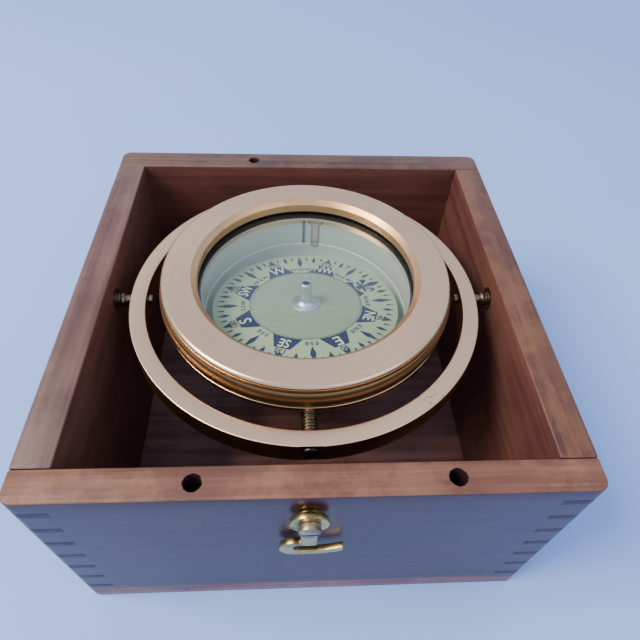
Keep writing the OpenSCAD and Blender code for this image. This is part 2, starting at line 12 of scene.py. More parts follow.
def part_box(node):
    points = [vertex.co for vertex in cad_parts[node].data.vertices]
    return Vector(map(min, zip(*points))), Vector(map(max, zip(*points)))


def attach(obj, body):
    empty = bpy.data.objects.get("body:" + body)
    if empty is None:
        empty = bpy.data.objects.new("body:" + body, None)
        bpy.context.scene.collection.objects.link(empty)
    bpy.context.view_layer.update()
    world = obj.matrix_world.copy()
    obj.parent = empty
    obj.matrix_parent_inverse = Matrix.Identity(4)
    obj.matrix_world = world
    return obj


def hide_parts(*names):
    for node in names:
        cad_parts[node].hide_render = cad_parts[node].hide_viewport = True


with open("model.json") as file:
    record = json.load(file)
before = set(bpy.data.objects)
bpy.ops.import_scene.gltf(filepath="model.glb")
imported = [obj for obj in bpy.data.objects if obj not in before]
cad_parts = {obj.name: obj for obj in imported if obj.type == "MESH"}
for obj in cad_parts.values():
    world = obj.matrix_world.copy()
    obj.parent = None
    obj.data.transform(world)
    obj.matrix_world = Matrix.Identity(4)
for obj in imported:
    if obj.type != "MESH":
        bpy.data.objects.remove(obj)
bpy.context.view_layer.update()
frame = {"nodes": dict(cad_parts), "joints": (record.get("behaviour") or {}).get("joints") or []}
MM = 0.001


# ---------- sizes, read from the frame ----------

def joint(name):
    return next(j for j in frame["joints"] if j["name"] == name)


BOARD_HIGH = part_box("base_board")[1]
HALF_W = BOARD_HIGH.x
HALF_D = BOARD_HIGH.y
BASE_T = BOARD_HIGH.z
RIM_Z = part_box("front_wall")[1].z
FRONT_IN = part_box("front_wall")[1].y
BACK_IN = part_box("back_wall")[0].y
SIDE_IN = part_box("right_wall")[0].x
WALL_T = HALF_W - SIDE_IN
AXIS_Z = joint("ring_swing")["pos_m"][2]
TOP_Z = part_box("bezel_ring")[1].z
BEZEL_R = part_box("bezel_ring")[1].x
RING_LOW, RING_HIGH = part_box("gimbal_ring")
RING_R = RING_HIGH.x
RING_WIDTH = 6.6 * MM
RING_SEAT = RING_R - 0.35 * MM
TIP_HOLE_R = 2.05 * MM
THREAD_HOLE_R = 3.05 * MM
CARD_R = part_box("compass_card")[1].x
CARD_DROP = 19.5
CARD_Z = TOP_Z - CARD_DROP * MM
CARD_AXIS = Vector(joint("card_turn")["axis"])
CARD_POINT = Matrix.Translation(joint("card_turn")["pos_m"])
GLASS_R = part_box("glass")[1].x
FLANGE_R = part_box("bowl_body")[1].x
GASKET_R = GLASS_R - 6.4 * MM
BOWL_R = GLASS_R - 5 * MM
BOWL_WALL = 4.5 * MM
HEADING = math.radians(296)
# The card and its hub are drawn level and then tilted about a point on the card's axis
CARD_LEAN = Vector((0, 0, 1)).rotation_difference(CARD_AXIS).to_matrix().to_4x4()
TILTED = CARD_POINT @ CARD_LEAN @ CARD_POINT.inverted()


# ---------- mesh helpers ----------

def finish_mesh(name, bm, materials, body, replaced=(), crease=32):
    """Makes an object of bm with smooth shading that breaks at edges sharper than crease degrees."""
    bmesh.ops.recalc_face_normals(bm, faces=bm.faces)
    for edge in bm.edges:
        if len(edge.link_faces) == 2:
            edge.smooth = edge.calc_face_angle(0) < math.radians(crease)
    for face in bm.faces:
        face.smooth = True
    mesh = bpy.data.meshes.new(name)
    bm.to_mesh(mesh)
    bm.free()
    piece = bpy.data.objects.new(name, mesh)
    bpy.context.scene.collection.objects.link(piece)
    for material in materials:
        mesh.materials.append(material)
    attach(piece, body)
    if replaced:
        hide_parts(*replaced)
    return piece


def rounded(corners, steps=5):
    """A closed outline whose corners (r, z, radius) are rounded by that radius, in steps."""
    points = []
    count = len(corners)
    for i, corner in enumerate(corners):
        here = Vector(corner[:2])
        radius = corner[2] if len(corner) > 2 else 0
        if radius == 0:
            points.append(here)
            continue
        before = (Vector(corners[i - 1][:2]) - here)
        after = (Vector(corners[(i + 1) % count][:2]) - here)
        half = before.angle(after) / 2
        reach = min(radius / math.tan(half), 0.49 * before.length, 0.49 * after.length)
        start = here + before.normalized() * reach
        end = here + after.normalized() * reach
        for k in range(steps + 1):
            t = k / steps
            points.append((1 - t) ** 2 * start + 2 * t * (1 - t) * here + t * t * end)
    return points


def lathe(profile, segments=256, inner_faces=None, matrix=None):
    """Turns a closed profile of (radius, z) about Z. inner_faces(r, z) gives a face's material."""
    bm = bmesh.new()
    rings = []
    for r, z in profile:
        if r < 1e-7:
            rings.append([bm.verts.new((0, 0, z))])
        else:
            rings.append([
                bm.verts.new((r * math.cos(2 * math.pi * k / segments),
                              r * math.sin(2 * math.pi * k / segments), z))
                for k in range(segments)])
    count = len(rings)
    for i in range(count):
        a, b = rings[i], rings[(i + 1) % count]
        if len(a) == 1 and len(b) == 1:
            continue
        middle = (Vector(profile[i]) + Vector(profile[(i + 1) % count])) / 2
        index = inner_faces(*middle) if inner_faces else 0
        for k in range(segments):
            n = (k + 1) % segments
            corners = [a[k % len(a)], a[n % len(a)], b[n % len(b)], b[k % len(b)]]
            face = bm.faces.new(list(dict.fromkeys(corners)))
            face.material_index = index
    if matrix:
        bm.transform(matrix)
    return bm


def down(points):
    """Points (radius, depth below the bezel's top, rounding) in millimetres, as (r, z) in metres."""
    return [(p[0] * MM, TOP_Z - p[1] * MM, *(q * MM for q in p[2:])) for p in points]


def block(low, high):
    bm = bmesh.new()
    bmesh.ops.create_cube(bm, size=1)
    size = [h - l for l, h in zip(low, high)]
    middle = [(h + l) / 2 for l, h in zip(low, high)]
    bm.transform(Matrix.Translation(middle) @ Matrix.Diagonal((*size, 1)))
    return bm


def rod(radius, low, high, segments=48, matrix=None):
    profile = [(0, low), (radius, low), (radius, high), (0, high)]
    return lathe(profile, segments, matrix=matrix)


def temporary(bm):
    mesh = bpy.data.meshes.new("tool")
    bmesh.ops.recalc_face_normals(bm, faces=bm.faces)
    bm.to_mesh(mesh)
    bm.free()
    tool = bpy.data.objects.new("tool", mesh)
    bpy.context.scene.collection.objects.link(tool)
    return tool


def combined(bm, steps):
    """bm after a row of boolean steps: each is (operation, bmesh)."""
    body = temporary(bm)
    tools = []
    for operation, other in steps:
        tool = temporary(other)
        tools.append(tool)
        modifier = body.modifiers.new("cut", "BOOLEAN")
        modifier.operation = operation
        modifier.solver = "EXACT"
        modifier.object = tool
    graph = bpy.context.evaluated_depsgraph_get()
    result = bmesh.new()
    result.from_mesh(bpy.data.meshes.new_from_object(body.evaluated_get(graph)))
    for made in [body, *tools]:
        bpy.data.objects.remove(made)
    bmesh.ops.remove_doubles(result, verts=result.verts, dist=1e-6)
    return result


def joined(parts):
    """One bmesh of several that don't touch."""
    whole = bmesh.new()
    for part in parts:
        mesh = bpy.data.meshes.new("part")
        part.to_mesh(mesh)
        part.free()
        whole.from_mesh(mesh)
        bpy.data.meshes.remove(mesh)
    return whole


# Matrices that lay a piece drawn along +Z on the pivot axes
ALONG_X = Matrix.Translation((0, 0, AXIS_Z)) @ Matrix.Rotation(math.pi / 2, 4, "Y")


def turned_by(degrees):
    return Matrix.Rotation(math.radians(degrees), 4, "Z")


# ---------- materials ----------

class Shader:
    """One node material. Values are sockets or constants, and lengths are in metres."""

    def __init__(self, name, **constants):
        self.material = bpy.data.materials.new(name)
        self.material.use_nodes = True
        self.tree = self.material.node_tree
        self.bsdf = self.tree.nodes["Principled BSDF"]
        self.point = self.node("ShaderNodeTexCoord").outputs["Object"]
        for key, value in constants.items():
            self.bsdf.inputs[key.replace("_", " ")].default_value = value

    def put(self, socket, value):
        if isinstance(value, bpy.types.NodeSocket):
            self.tree.links.new(value, socket)
        elif hasattr(value, "__len__") and len(value) == 3 and len(socket.default_value) == 4:
            socket.default_value = (*value, 1)
        else:
            socket.default_value = value

    def node(self, kind, values=None, **settings):
        made = self.tree.nodes.new(kind)
        for key, value in settings.items():
            setattr(made, key, value)
        for key, value in (values or {}).items():
            self.put(made.inputs[key], value)
        return made

    def set(self, key, value):
        self.put(self.bsdf.inputs[key], value)

    def math(self, operation, a, b=0.0, clamp=False):
        return self.node("ShaderNodeMath", {0: a, 1: b}, operation=operation, use_clamp=clamp).outputs[0]

    def axes(self):
        split = self.node("ShaderNodeSeparateXYZ", {0: self.point})
        return split.outputs

    def stretched(self, scale):
        return self.node("ShaderNodeMapping", {"Vector": self.point, "Scale": scale}).outputs[0]

    def noise(self, scale, detail=3.0, roughness=0.5, vector=None, distortion=0.0):
        values = {"Scale": scale, "Detail": detail, "Roughness": roughness, "Distortion": distortion,
                  "Vector": self.point if vector is None else vector}
        return self.node("ShaderNodeTexNoise", values).outputs["Fac"]

    def step(self, value, low, high):
        """0 below low and 1 above high, with a smooth change between."""
        values = {"Value": value, "From Min": low, "From Max": high}
        made = self.node("ShaderNodeMapRange", values, interpolation_type="SMOOTHSTEP")
        return made.outputs[0]

    def spread(self, value, low, high, to_low, to_high):
        values = {"Value": value, "From Min": low, "From Max": high, "To Min": to_low, "To Max": to_high}
        return self.node("ShaderNodeMapRange", values).outputs[0]

    def mix(self, share, a, b, blend="MIX"):
        made = self.node("ShaderNodeMix", data_type="RGBA", blend_type=blend)
        self.put(made.inputs[0], share)
        self.put(made.inputs[6], a)
        self.put(made.inputs[7], b)
        return made.outputs[2]

    def bump(self, height, distance, strength=1.0):
        values = {"Height": height, "Distance": distance, "Strength": strength}
        previous = self.bsdf.inputs["Normal"]
        if previous.is_linked:
            values["Normal"] = previous.links[0].from_socket
        self.set("Normal", self.node("ShaderNodeBump", values).outputs[0])

    def radius(self):
        x, y, _ = self.axes()
        return self.math("SQRT", self.math("ADD", self.math("MULTIPLY", x, x), self.math("MULTIPLY", y, y)))


def rgb(r, g, b):
    """A colour given as 0-255 screen values, in linear light."""
    return tuple(((v / 255 + 0.055) / 1.055) ** 2.4 if v > 10 else v / 255 / 12.92 for v in (r, g, b))


def wood(name, dark, light, grain, gloss, wear_and_sheen=None, wear_and_sheen_amount=0.0, coat=0.0):
    """Varnished hardwood with its grain along one axis, with lighter patches of a given colour that stand
    partly for worn finish and partly for painted reflection.
    """
    s = Shader(name, Coat_Weight=coat, Coat_Roughness=0.16)
    stretch = [260.0, 260.0, 260.0]
    stretch["XYZ".index(grain)] = 9.0
    fine = [1900.0, 1900.0, 1900.0]
    fine["XYZ".index(grain)] = 45.0
    figure = s.noise(1.0, 5.0, 0.6, s.stretched(stretch), 0.4)
    pores = s.noise(1.0, 3.0, 0.6, s.stretched(fine))
    blotch = s.noise(38.0, 3.0, 0.55)
    tone = s.math("ADD", s.math("MULTIPLY", figure, 0.6), s.math("MULTIPLY", blotch, 0.4))
    colour = s.mix(s.step(tone, 0.34, 0.66), dark, light)
    streaks = s.step(pores, 0.56, 0.74)
    colour = s.mix(s.math("MULTIPLY", streaks, 0.2), colour, tuple(v * 0.5 for v in dark))
    # Lighter patches: partly worn finish, partly painted sheen where light reflects off the rims.
    if wear_and_sheen is not None:
        uneven = s.math("ADD", s.noise(55.0, 5.0, 0.65), s.math("MULTIPLY", figure, 0.25))
        wear_and_sheen_patches = s.step(uneven, 0.56, 0.74)
        colour = s.mix(s.math("MULTIPLY", wear_and_sheen_patches, wear_and_sheen_amount), colour, wear_and_sheen)
    s.set("Base Color", colour)
    vary = 0.02 if coat else 0.08
    s.set("Roughness", s.spread(s.noise(420.0, 4.0), 0.3, 0.7, gloss - vary, gloss + vary))
    s.bump(pores, 0.12 * MM, 0.05 if coat else 0.4)
    s.bump(s.noise(90.0, 2.0), 0.6 * MM, 0.08 if coat else 0.2)
    return s.material


def brass(name, colour, tarnish, roughness, brushed=0.5, line=0.25 * MM, spots=0.3, anisotropy=0.0,
          scratched=None):
    """Turned brass: fine lines round the axis, faint tarnish, and scratches about one spot (x, y)."""
    s = Shader(name, Metallic=1.0, Anisotropic=anisotropy)
    x, y, z = s.axes()
    across = s.node("ShaderNodeCombineXYZ", {0: s.radius(), 1: z, 2: 0.0}).outputs[0]
    lines = s.noise(1.0 / line, 2.0, 0.6, across)
    bands = s.noise(0.12 / line, 2.0, 0.6, across)
    film = s.noise(75.0, 5.0, 0.6)
    tint = s.math("ADD", s.math("MULTIPLY", s.step(film, 0.42, 0.72), spots),
                  s.math("MULTIPLY", s.step(bands, 0.45, 0.7), 0.25), clamp=True)
    face = s.mix(tint, colour, tarnish)
    if scratched:
        near = s.math("ADD", s.math("ABSOLUTE", s.math("SUBTRACT", x, scratched[0])),
                      s.math("ABSOLUTE", s.math("SUBTRACT", y, scratched[1])))
        marks = s.step(s.math("ABSOLUTE", s.math("SUBTRACT", s.noise(230.0, 1.0), 0.5)), 0.016, 0.006)
        marks = s.math("MULTIPLY", marks, s.step(near, 8 * MM, 4 * MM))
        face = s.mix(s.math("MULTIPLY", marks, 0.75), face, tuple(v * 0.12 for v in tarnish))
    s.set("Base Color", face)
    rough = s.math("ADD", s.math("MULTIPLY", lines, 0.14), s.math("MULTIPLY", film, 0.12))
    s.set("Roughness", s.math("ADD", rough, roughness - 0.13))
    s.bump(lines, 0.02 * MM, brushed)
    if anisotropy:
        tangent = s.node("ShaderNodeTangent", direction_type="RADIAL", axis="Z")
        s.set("Tangent", tangent.outputs[0])
    return s.material


def metal(name, colour, tarnish, roughness, scale=420.0, grain=0.3):
    """Cast, cut or plated metal without turned lines."""
    s = Shader(name, Metallic=1.0)
    film = s.noise(scale, 4.0, 0.6)
    s.set("Base Color", s.mix(s.step(film, 0.4, 0.75), colour, tarnish))
    s.set("Roughness", s.spread(s.noise(scale * 2.5, 3.0), 0.3, 0.7, roughness - 0.06, roughness + 0.1))
    s.bump(s.noise(scale * 4, 2.0), 0.05 * MM, grain)
    return s.material


def soft_black(name, colour, roughness, specular=0.5):
    s = Shader(name, Specular_IOR_Level=specular)
    s.set("Base Color", s.mix(s.noise(900.0, 3.0), colour, tuple(v * 1.8 + 0.004 for v in colour)))
    s.set("Roughness", s.spread(s.noise(700.0), 0.3, 0.7, roughness - 0.08, roughness + 0.08))
    s.bump(s.noise(2500.0, 3.0), 0.05 * MM, 0.3)
    return s.material


def clear_glass():
    """A flat pane: what is behind shows straight through, with a mirror share at low angles."""
    s = Shader("clear_glass")
    nodes, links = s.tree.nodes, s.tree.links
    nodes.remove(s.bsdf)
    clear = s.node("ShaderNodeBsdfTransparent", {"Color": (0.975, 0.985, 0.98, 1)})
    mirror = s.node("ShaderNodeBsdfGlossy", {"Roughness": s.spread(s.noise(60.0), 0.3, 0.7, 0.012, 0.03)})
    share = s.math("MULTIPLY", s.node("ShaderNodeFresnel", {"IOR": 1.35}).outputs[0], 0.8)
    both = s.node("ShaderNodeMixShader", {0: share, 1: clear.outputs[0], 2: mirror.outputs[0]})
    links.new(both.outputs[0], nodes["Material Output"].inputs["Surface"])
    return s.material


def bowl_paint(lubber_low):
    """Pale green-white enamel inside the bowl, with an old drip stain beside the lubber line."""
    s = Shader("bowl_paint", Coat_Weight=0.08, Coat_Roughness=0.2)
    x, y, z = s.axes()
    paint = s.mix(s.noise(45.0, 3.0), rgb(226, 236, 212), rgb(216, 228, 202))
    along = s.math("ABSOLUTE", s.math("SUBTRACT", x, 5.6 * MM))
    flare = s.math("MULTIPLY", s.step(z, TOP_Z - 14.5 * MM, TOP_Z - 9.8 * MM), 2.8 * MM)
    wander = s.math("MULTIPLY", s.math("SUBTRACT", s.noise(260.0, 2.0), 0.5), 0.9 * MM)
    width = s.math("ADD", s.math("ADD", flare, 2.0 * MM), wander)
    foot = s.math("MULTIPLY", s.step(z, lubber_low - 0.6 * MM, lubber_low - 3 * MM), 2.6 * MM)
    width = s.math("SUBTRACT", width, foot)
    inside = s.math("SUBTRACT", width, along)
    rear = s.step(y, 0.0, 10 * MM)
    outline = s.math("MULTIPLY", s.step(inside, -0.25 * MM, 0.1 * MM), s.step(inside, 1.4 * MM, 0.6 * MM))
    low_end = s.math("MULTIPLY", s.step(z, lubber_low + 3.5 * MM, lubber_low - 0.5 * MM), 0.5)
    body = s.math("MULTIPLY", s.step(inside, 0.0, 0.3 * MM), s.math("ADD", low_end, 0.35))
    stain = s.math("MULTIPLY", s.math("MAXIMUM", s.math("MULTIPLY", outline, 0.95), body), rear)
    stain = s.math("MULTIPLY", stain, s.step(z, lubber_low - 3.2 * MM, lubber_low - 2.2 * MM))
    top_edge = s.step(z, TOP_Z - 11.8 * MM, TOP_Z - 10.6 * MM)
    rust = s.math("MULTIPLY", s.math("MULTIPLY", top_edge, s.step(s.noise(120.0, 4.0), 0.5, 0.62)),
                  s.step(s.math("ADD", x, y), 10 * MM, 45 * MM))
    paint = s.mix(s.math("MULTIPLY", rust, 0.7), paint, rgb(120, 110, 60))
    s.set("Base Color", s.mix(stain, paint, rgb(146, 112, 22)))
    s.set("Roughness", s.spread(s.noise(300.0), 0.3, 0.7, 0.3, 0.42))
    s.bump(s.noise(500.0, 3.0), 0.05 * MM, 0.3)
    return s.material


def card_ground(name, light, dark, brushed):
    """The printed card's ground, or the brushed disc inside its ring lines."""
    s = Shader(name)
    scuffs = s.noise(1.0, 3.0, 0.6, s.stretched([60.0, 1500.0, 60.0]))
    tone = s.mix(brushed, s.noise(120.0, 4.0), scuffs)
    s.set("Base Color", s.mix(tone, light, dark))
    s.set("Roughness", s.spread(scuffs, 0.3, 0.7, 0.42, 0.6))
    s.bump(s.noise(1500.0, 3.0), 0.03 * MM, 0.3)
    return s.material


def print_ink(name, colour):
    s = Shader(name)
    s.set("Base Color", s.mix(s.noise(700.0, 3.0), colour, tuple(v * 1.5 + 0.006 for v in colour)))
    s.set("Roughness", s.spread(s.noise(500.0), 0.3, 0.7, 0.45, 0.6))
    return s.material


INNER_WOOD = wood("wood_inner", rgb(92, 52, 44), rgb(116, 70, 58), "X", 0.46)
OUTER_WOOD = wood("wood_outer", rgb(50, 14, 20), rgb(68, 24, 28), "X", 0.44, coat=0.2)
OUTER_WOOD_SIDE = wood("wood_outer_side", rgb(50, 14, 20), rgb(68, 24, 28), "Y", 0.44, coat=0.2)
INNER_WOOD_SIDE = wood("wood_inner_side", rgb(92, 54, 46), rgb(116, 74, 62), "Y", 0.46)
# Each rim's lighter patches stand partly for worn finish and partly for painted reflection.
RIM_FRONT = wood("rim_front", rgb(98, 58, 42), rgb(138, 90, 66), "X", 0.5, rgb(176, 130, 92), 0.25)
RIM_BACK = wood("rim_back", rgb(70, 50, 44), rgb(106, 76, 62), "X", 0.42, rgb(136, 102, 74), 0.3)
RIM_LEFT = wood("rim_left", rgb(86, 58, 50), rgb(122, 88, 76), "Y", 0.48, rgb(148, 114, 94), 0.2)
RIM_RIGHT = wood("rim_right", rgb(74, 42, 32), rgb(110, 70, 50), "Y", 0.44, rgb(152, 106, 68), 0.3)
END_GRAIN = wood("end_grain", rgb(34, 20, 24), rgb(60, 36, 36), "Z", 0.5)
BOARD_WOOD = wood("wood_board", rgb(104, 64, 60), rgb(154, 108, 98), "X", 0.44)

SATIN = brass("brass_satin", rgb(255, 210, 166), rgb(248, 186, 138), 0.32, 0.3, 0.22 * MM, 0.25, 0.55,
              scratched=(43 * MM, -53 * MM))
EDGE = brass("brass_edge", rgb(250, 212, 164), rgb(226, 178, 122), 0.22, 0.15, 0.5 * MM, 0.3)
# A darker copy of the same brass: painted shade on the bezel's and the gimbal ring's upright outer sides.
BRASS_SIDE_SHADE = brass("brass_side_shade", rgb(146, 116, 78), rgb(98, 76, 54), 0.34, 0.2, 0.6 * MM, 0.4)
# A warmer, darker copy of the same brass: painted light on the bezel's inner wall.
BRASS_INNER_LIGHT = brass("brass_inner_painted_light", rgb(236, 188, 134), rgb(196, 142, 92), 0.36, 0.3, 0.3 * MM, 0.4)
# A darker copy of the brass: painted shade on the bowl's outside and on the clamp ring and cover under it.
BRASS_UNDER_SHADE = brass("brass_dark", rgb(132, 92, 62), rgb(66, 44, 36), 0.2, 0.3, 0.6 * MM, 0.6)
SCREW_BRASS = metal("brass_screws", rgb(156, 140, 114), rgb(88, 76, 60), 0.32)
DARK_SCREW = metal("brass_screws_dark", rgb(70, 66, 58), rgb(34, 30, 30), 0.34)
HOOK_BRASS = metal("brass_polished", rgb(206, 180, 112), rgb(112, 92, 52), 0.24, 160.0)
STEEL = metal("bright_steel", rgb(184, 168, 144), rgb(128, 112, 92), 0.34, 240.0)
HUB_METAL = brass("hub_metal", rgb(232, 236, 246), rgb(186, 194, 208), 0.42, 0.3, 0.4 * MM, 0.3)
SHEET = metal("bronze_sheet", rgb(176, 134, 86), rgb(120, 84, 52), 0.34)
IRON = metal("ballast_metal", rgb(92, 92, 96), rgb(60, 60, 64), 0.55)
RUBBER = soft_black("black_rubber", (0.012, 0.013, 0.016), 0.55)
# A grey for the seal's lower part.
GREY_EDGE = soft_black("grey_lower_edge", (0.34, 0.36, 0.32), 0.5)
LUBBER_PAINT = soft_black("black_paint", (0.006, 0.009, 0.024), 0.6, 0.15)
JEWEL = soft_black("dark_jewel", (0.006, 0.009, 0.03), 0.2)
GLASS = clear_glass()
NAVY = print_ink("navy_ink", rgb(36, 48, 80))
PALE_INK = print_ink("pale_ink", rgb(212, 220, 186))
CARD_GROUND = card_ground("card_ground", rgb(196, 208, 164), rgb(182, 198, 156), 0.1)
CARD_CENTRE = card_ground("card_centre", rgb(172, 188, 156), rgb(146, 162, 132), 0.9)


# ---------- box ----------

CORNER_R = 4 * MM
FINGER_H = 3 * MM
FINGER_PITCH = 12.5 * MM
FINGER_TOP = RIM_Z - 8.5 * MM
FINGERS = 7
RIM_EDGE = 0.7 * MM
JOINT_GAP = 0.06 * MM


def corner_arc(x, y, steps=8):
    """The rounded corner of the box nearest (x, y), as points from its x side to its y side."""
    cx, cy = math.copysign(HALF_W - CORNER_R, x), math.copysign(HALF_D - CORNER_R, y)
    turn = [k * math.pi / 2 / steps for k in range(steps + 1)]
    return [(cx + math.copysign(CORNER_R * math.cos(t), x), cy + math.copysign(CORNER_R * math.sin(t), y))
            for t in turn]


def slab(outline, low, high, edge):
    """An upright slab of an XY outline, with its sharp edges softened."""
    bm = bmesh.new()
    face = bm.faces.new([bm.verts.new((x, y, low)) for x, y in outline])
    grown = bmesh.ops.extrude_face_region(bm, geom=[face])["geom"]
    raised = [v for v in grown if isinstance(v, bmesh.types.BMVert)]
    bmesh.ops.translate(bm, vec=(0, 0, high - low), verts=raised)
    bmesh.ops.recalc_face_normals(bm, faces=bm.faces)
    sharp = [e for e in bm.edges if e.calc_face_angle(0) > math.radians(40)]
    bmesh.ops.bevel(bm, geom=sharp, offset=edge, segments=3, profile=0.5, affect="EDGES",
                    clamp_overlap=True)
    return bm


def finger(sx, sy, z, grow=0.0):
    """One comb finger of a side wall where it shows at a corner. grow makes its slot."""
    inner_y = (BACK_IN if sy > 0 else FRONT_IN) - sy * 2 * MM
    inner_x = sx * SIDE_IN
    outline = [(inner_x - sx * grow, inner_y), (sx * HALF_W, inner_y), *corner_arc(sx, sy)]
    if grow:
        far = 5 * MM
        outline = [(inner_x - sx * grow, inner_y - sy * far), (sx * (HALF_W + far), inner_y - sy * far),
                   (sx * (HALF_W + far), sy * (HALF_D + far)), (inner_x - sx * grow, sy * (HALF_D + far))]
    else:
        outline.append((inner_x, sy * HALF_D))
    half = FINGER_H / 2 + grow
    return slab(outline, z - half, z + half, 0.12 * MM)


def finger_heights():
    return [FINGER_TOP - i * FINGER_PITCH for i in range(FINGERS)]


def peg_hole(x, y, radius, depth, rng):
    """A blind hole with a chipped mouth, as a closed tool."""
    segments = 56
    chips = [max(0.0, rng.gauss(0.05, 0.24)) * MM for _ in range(segments)]
    chips = [(chips[k - 1] + 2 * chips[k] + chips[(k + 1) % segments]) / 4 for k in range(segments)]
    levels = [(-depth, 0.0), (-1.4 * MM, 0.0), (-0.5 * MM, 0.35), (0.0, 1.0), (1 * MM, 1.4)]
    bm = bmesh.new()
    rings = []
    for z, share in levels:
        ring = []
        for k in range(segments):
            a = 2 * math.pi * k / segments
            r = radius + share * (chips[k] + 0.2 * MM)
            ring.append(bm.verts.new((x + r * math.cos(a), y + r * math.sin(a), RIM_Z + z)))
        rings.append(ring)
    for a, b in zip(rings, rings[1:]):
        for k in range(segments):
            n = (k + 1) % segments
            bm.faces.new((a[k], a[n], b[n], b[k]))
    bm.faces.new(rings[0][::-1])
    bm.faces.new(rings[-1])
    return bm


def set_faces(bm, rule):
    bmesh.ops.recalc_face_normals(bm, faces=bm.faces)
    for face in bm.faces:
        face.material_index = rule(face.calc_center_median(), face.normal)
    return bm


def cross_wall(sy, name, rim, pegs, rng):
    """The front (sy -1) or the back wall. pegs holds (x, radius) of each peg hole."""
    inner_y = BACK_IN if sy > 0 else FRONT_IN
    middle = (inner_y + sy * HALF_D) / 2
    left, right = corner_arc(-1, sy), corner_arc(1, sy)
    outline = [(-HALF_W, inner_y), *left, *right[::-1], (HALF_W, inner_y)]
    steps = [("DIFFERENCE", finger(sx, sy, z, JOINT_GAP)) for sx in (-1, 1) for z in finger_heights()]
    steps += [("DIFFERENCE", peg_hole(x, middle, r, 12 * MM, rng)) for x, r in pegs]
    bm = combined(slab(outline, BASE_T, RIM_Z, RIM_EDGE), steps)

    def rule(centre, normal):
        in_hole = any((centre - Vector((x, middle, centre.z))).length < r + 0.3 * MM for x, r in pegs)
        if in_hole and centre.z < RIM_Z - 0.3 * MM:
            return 3
        if normal.z > 0.5 and centre.z > RIM_Z - 2 * MM:
            return 1
        if normal.y * sy < -0.6:
            return 2
        if abs(normal.x) > 0.75 or abs(normal.z) > 0.5:
            return 3
        return 0

    finish_mesh(name + "_wood", set_faces(bm, rule), [OUTER_WOOD, rim, INNER_WOOD, END_GRAIN],
                "box", [name])


def side_wall(sx, name, rim):
    """A side wall: sx is -1 at the left. It has a bored place for its pivot bush."""
    gap = JOINT_GAP * 2
    outline = [(sx * SIDE_IN, FRONT_IN + gap), (sx * HALF_W, FRONT_IN + gap),
               (sx * HALF_W, BACK_IN - gap), (sx * SIDE_IN, BACK_IN - gap)]
    steps = [("UNION", finger(sx, sy, z)) for sy in (-1, 1) for z in finger_heights()]
    bush = ALONG_X @ Matrix.Translation((0, 0, sx * (SIDE_IN + HALF_W) / 2))
    steps.append(("DIFFERENCE", rod(5.05 * MM, -WALL_T, WALL_T, 64, bush)))
    bm = combined(slab(outline, BASE_T, RIM_Z, RIM_EDGE), steps)

    def rule(centre, normal):
        if normal.z > 0.5 and centre.z > RIM_Z - 2 * MM:
            return 1
        if normal.x * sx < -0.6:
            return 2
        if abs(normal.y) > 0.6 or abs(normal.z) > 0.5:
            return 3
        return 0

    finish_mesh(name + "_wood", set_faces(bm, rule), [OUTER_WOOD_SIDE, rim, INNER_WOOD_SIDE, END_GRAIN],
                "box", [name])


def base_board():
    outline = [p for x, y in ((-1, -1), (1, -1), (1, 1), (-1, 1))
               for p in (corner_arc(x, y) if x * y > 0 else corner_arc(x, y)[::-1])]
    spots = []
    for a in (-60 * MM, 60 * MM):
        spots += [(a, (FRONT_IN - HALF_D) / 2), (a, (BACK_IN + HALF_D) / 2)]
        spots += [(sx * (SIDE_IN + HALF_W) / 2, a) for sx in (-1, 1)]
    head_r, hole_r, sink_h = 3.8 * MM, 1.8 * MM, 3 * MM
    sink = [(0, -MM), (head_r + 0.6 * MM, -MM), (head_r, 0), (hole_r, sink_h), (hole_r, BASE_T + MM),
            (0, BASE_T + MM)]
    steps = [("DIFFERENCE", lathe(sink, 40, matrix=Matrix.Translation((x, y, 0)))) for x, y in spots]
    bm = combined(slab(outline, 0, BASE_T - JOINT_GAP, RIM_EDGE), steps)
    set_faces(bm, lambda _, normal: 1 if abs(normal.x) > 0.7 else 0)
    finish_mesh("base_board_wood", bm, [BOARD_WOOD, END_GRAIN], "box", ["base_board"])


# ---------- gimbal ring and bowl ----------

def gimbal_ring():
    r_in = RING_R - RING_WIDTH
    edge = 0.6 * MM
    far = 80 * MM
    corners = [(r_in, RING_LOW.z, edge), (RING_R, RING_LOW.z, edge), (RING_R, RING_HIGH.z, edge),
               (r_in, RING_HIGH.z, edge)]
    steps = []
    for side in (0, 180):
        steps.append(("DIFFERENCE", rod(TIP_HOLE_R, 60 * MM, far, 48, turned_by(side) @ ALONG_X)))
    for side in (90, 270):
        steps.append(("DIFFERENCE", rod(THREAD_HOLE_R, 60 * MM, far, 48, turned_by(side) @ ALONG_X)))
        steps.append(("DIFFERENCE", rod(6.5 * MM, RING_SEAT, far, 64, turned_by(side) @ ALONG_X)))
    bm = combined(lathe(rounded(corners)), steps)

    # Tops are satin, rounded edges the smoother brass, and upright sides the darker copy that paints shade
    # on them.
    def rule(_, normal):
        if abs(normal.z) > 0.9:
            return 0
        return 1 if abs(normal.z) > 0.15 else 2

    finish_mesh("gimbal_ring_brass", set_faces(bm, rule), [SATIN, EDGE, BRASS_SIDE_SHADE], "ring",
                ["gimbal_ring"])


